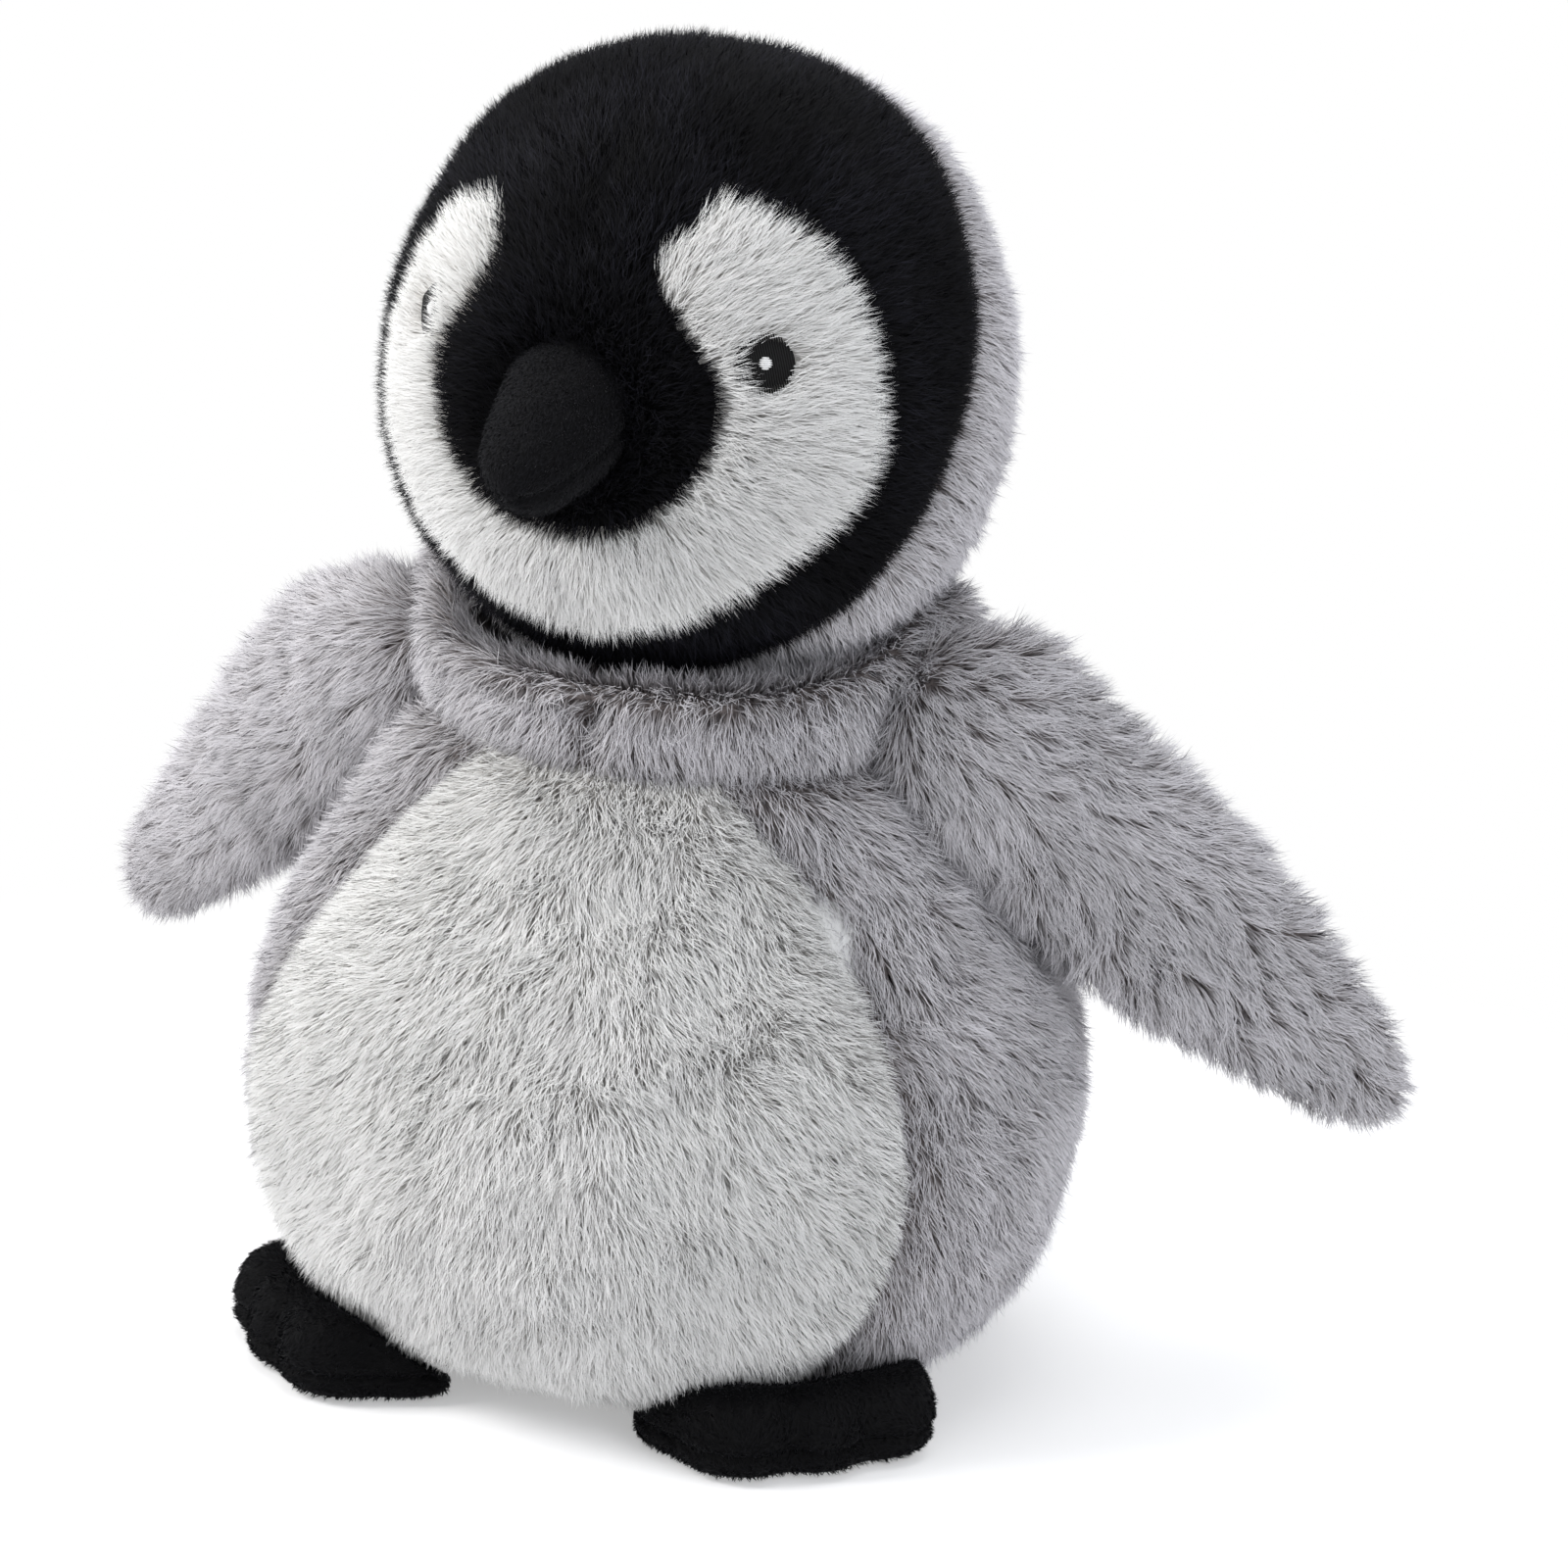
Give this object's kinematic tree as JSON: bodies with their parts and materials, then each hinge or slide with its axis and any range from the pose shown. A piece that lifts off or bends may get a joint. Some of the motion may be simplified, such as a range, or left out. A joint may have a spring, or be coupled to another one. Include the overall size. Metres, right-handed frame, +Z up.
{
  "type": "plush penguin",
  "caption": "Sitting stuffed penguin chick: weighted torso with a cream belly, round capped head with a drooping beak, two padded wings and two small feet.",
  "frame": {"origin": "on the ground under the middle of the torso's round base", "axes": "+Z up through the torso, -Y the way the penguin faces, +X its left side"},
  "size_m": [0.2798, 0.1672, 0.2575],
  "materials": {
    "cream_plush": "long soft pile",
    "grey_plush": "long soft pile",
    "black_plush": "short dense pile",
    "black_minky": "short nap",
    "beak_velvet": "velvet nap",
    "fibre_filling": "loose fibre",
    "pouch_cloth": "plain weave",
    "pellets": "loose pellets",
    "black_thread": "satin stitch",
    "white_thread": "satin stitch"
  },
  "bodies": {
    "torso": {"belly_panel": "cream_plush", "base_panel": "grey_plush", "side_panel_left": "grey_plush", "side_panel_right": "grey_plush", "yoke_left": "grey_plush", "yoke_right": "grey_plush", "nape_left": "grey_plush", "nape_right": "grey_plush", "torso_stuffing": "fibre_filling", "pouch_top": "pouch_cloth", "pouch_bottom": "pouch_cloth", "pellet_fill": "pellets"},
    "neck": {"neck_pad": "fibre_filling"},
    "head": {"cap_left": "black_plush", "cap_right": "black_plush", "hood_left": "grey_plush", "hood_right": "grey_plush", "cheek_left": "cream_plush", "cheek_right": "cream_plush", "eye_left": "black_thread", "eye_right": "black_thread", "eye_glint_left": "white_thread", "eye_glint_right": "white_thread", "beak_upper": "beak_velvet", "beak_lower": "beak_velvet", "beak_stuffing": "fibre_filling", "head_stuffing": "fibre_filling"},
    "wing_left": {"wing_front_left": "grey_plush", "wing_back_left": "grey_plush", "wing_stuffing_left": "fibre_filling"},
    "wing_right": {"wing_front_right": "grey_plush", "wing_back_right": "grey_plush", "wing_stuffing_right": "fibre_filling"},
    "foot_left": {"foot_top_left": "black_minky", "foot_sole_left": "black_minky", "foot_stuffing_left": "fibre_filling"},
    "foot_right": {"foot_top_right": "black_minky", "foot_sole_right": "black_minky", "foot_stuffing_right": "fibre_filling"}
  },
  "joints": [
    {"name": "head_turn", "type": "hinge", "parent": "torso", "child": "neck", "pos_m": [0, 0, 0.1935], "axis": [0, 0, 1], "range_deg": [-25, 25], "stiffness_Nm_per_rad": 0.6},
    {"name": "head_nod", "type": "hinge", "parent": "neck", "child": "head", "pos_m": [0, 0, 0.1935], "axis": [0.9962, -0.0872, 0], "range_deg": [-12, 12], "stiffness_Nm_per_rad": 0.8},
    {"name": "wing_lift_left", "type": "hinge", "parent": "torso", "child": "wing_left", "pos_m": [0.06, -0.004, 0.135], "axis": [0.552, -0.8339, 0], "range_deg": [0, 70], "stiffness_Nm_per_rad": 0.15},
    {"name": "wing_lift_right", "type": "hinge", "parent": "torso", "child": "wing_right", "pos_m": [-0.06, -0.004, 0.135], "axis": [0.552, 0.8339, 0], "range_deg": [0, 70], "stiffness_Nm_per_rad": 0.15},
    {"name": "foot_droop_left", "type": "hinge", "parent": "torso", "child": "foot_left", "pos_m": [0.03493, -0.03493, 0], "axis": [0.7071, 0.7071, 0], "range_deg": [0, 35], "stiffness_Nm_per_rad": 0.1},
    {"name": "foot_droop_right", "type": "hinge", "parent": "torso", "child": "foot_right", "pos_m": [-0.03493, -0.03493, 0], "axis": [0.7071, -0.7071, 0], "range_deg": [0, 35], "stiffness_Nm_per_rad": 0.1}
  ]
}
